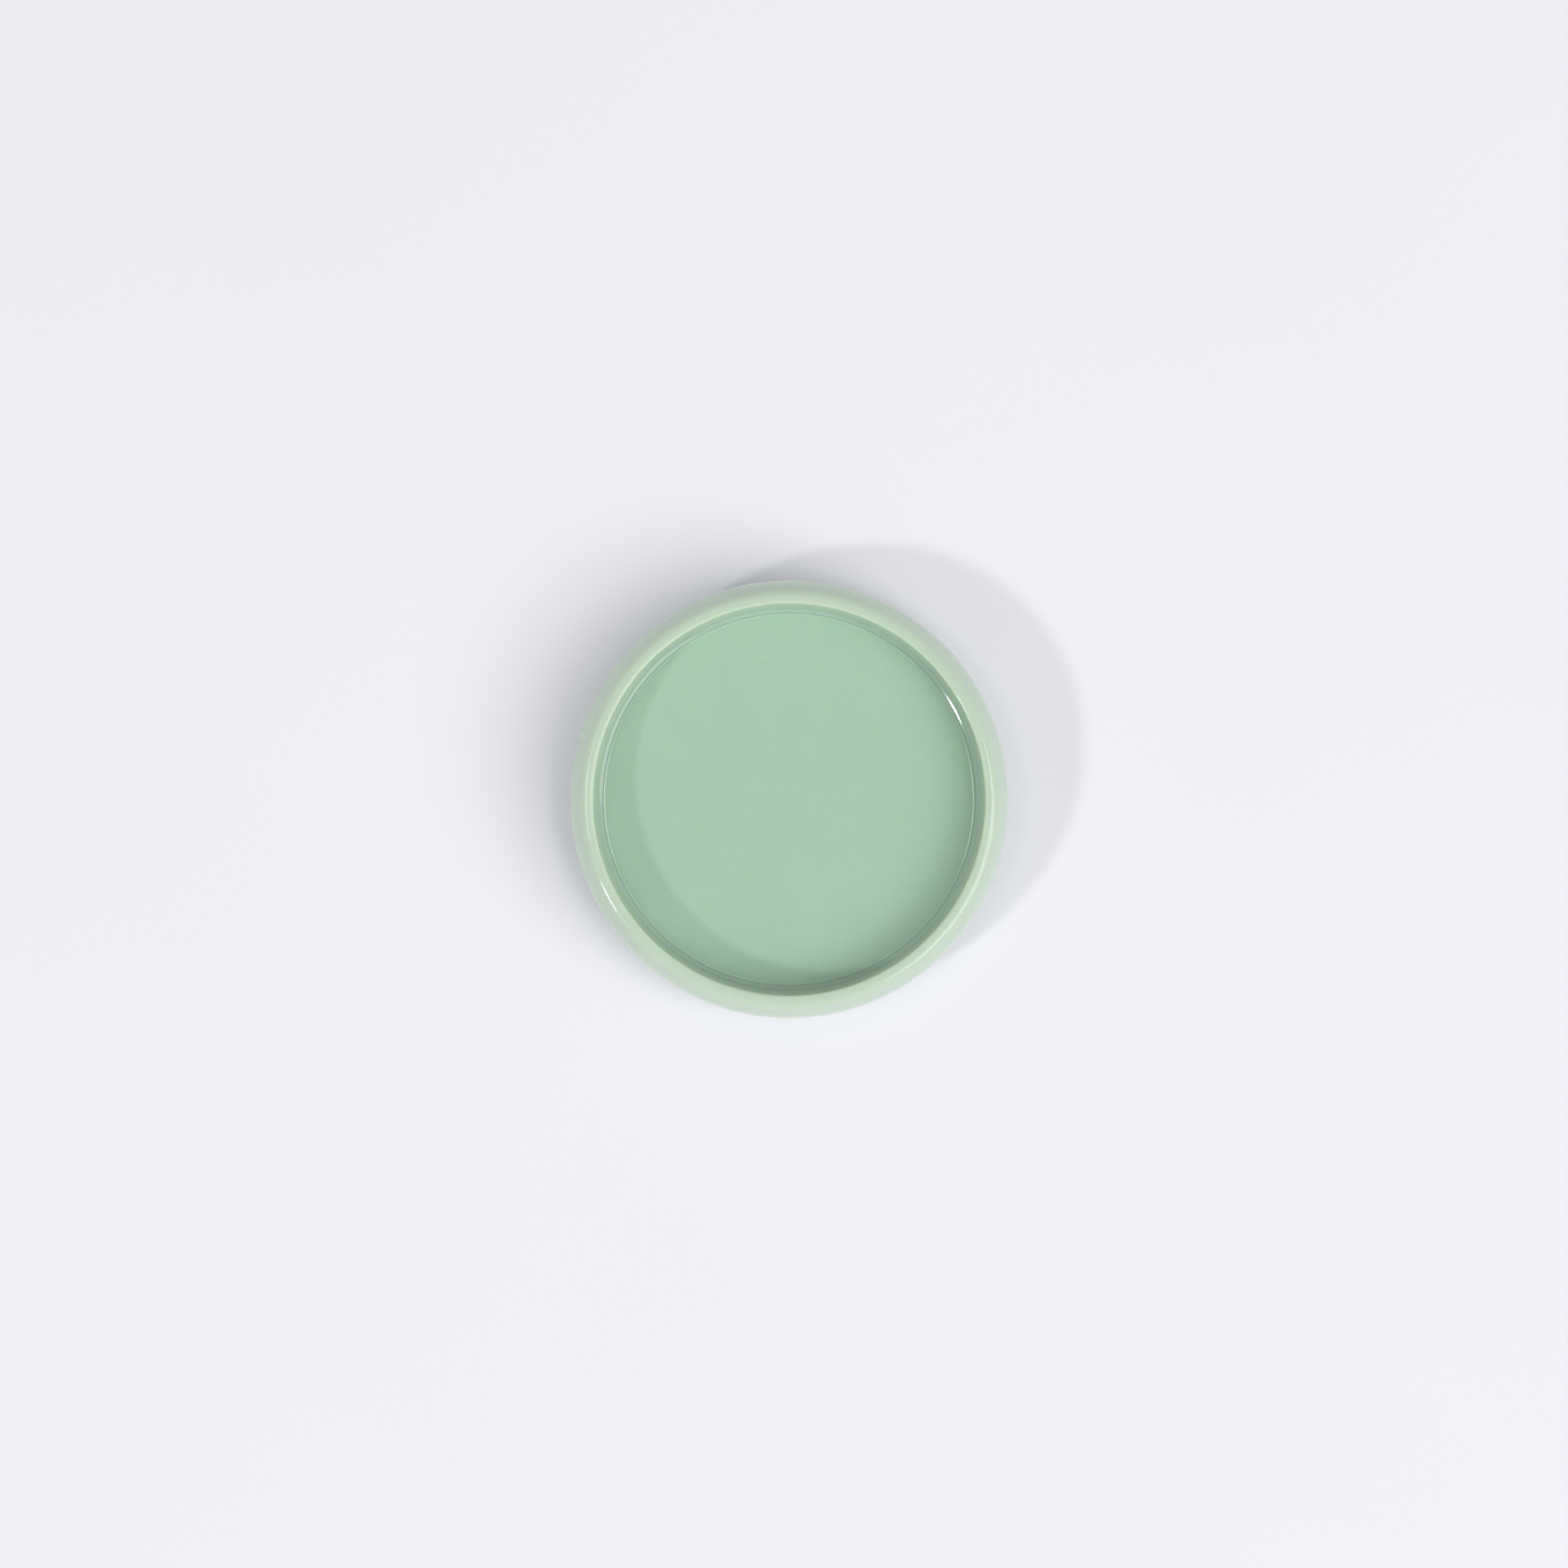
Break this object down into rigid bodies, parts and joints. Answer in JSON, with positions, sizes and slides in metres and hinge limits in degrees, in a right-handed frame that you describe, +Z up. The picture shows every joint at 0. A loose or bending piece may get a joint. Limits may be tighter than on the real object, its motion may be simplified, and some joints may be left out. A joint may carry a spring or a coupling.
{
  "type": "round pocket wet palette",
  "caption": "Round pocket wet palette with a press-on lid whose recessed glossy top is a mixing well, over a tray with sponge, membrane paper, seal ring and grip pads.",
  "frame": {"origin": "middle of the foot pads' undersides, on the palette's axis, with the lid closed", "axes": "+Z up along the palette's axis, from the tray to the lid; the foot pads lie on the diagonals between X and Y"},
  "size_m": [0.076, 0.076, 0.018],
  "materials": {
    "mint_plastic": "glossy injection-moulded mint-green polypropylene, slightly translucent",
    "milky_silicone": "matt milky silicone",
    "cellulose_sponge": "open-pored cellulose sponge, damp",
    "membrane_paper": "smooth semi-transparent membrane paper"
  },
  "bodies": {
    "tray": {"base_tray": "mint_plastic", "foot_pad_1": "milky_silicone", "foot_pad_2": "milky_silicone", "foot_pad_3": "milky_silicone", "foot_pad_4": "milky_silicone", "sponge_pad": "cellulose_sponge", "palette_paper": "membrane_paper"},
    "seal": {"lid_seal": "milky_silicone"},
    "lid": {"lid": "mint_plastic"}
  },
  "joints": [
    {"name": "lid_lift", "type": "slide", "parent": "tray", "child": "seal", "axis": [0, 0, 1], "range_m": [0, 0.045]},
    {"name": "lid_turn", "type": "hinge", "parent": "seal", "child": "lid", "pos_m": [0, 0, 0.0138], "axis": [0, 0, 1], "continuous": true}
  ]
}
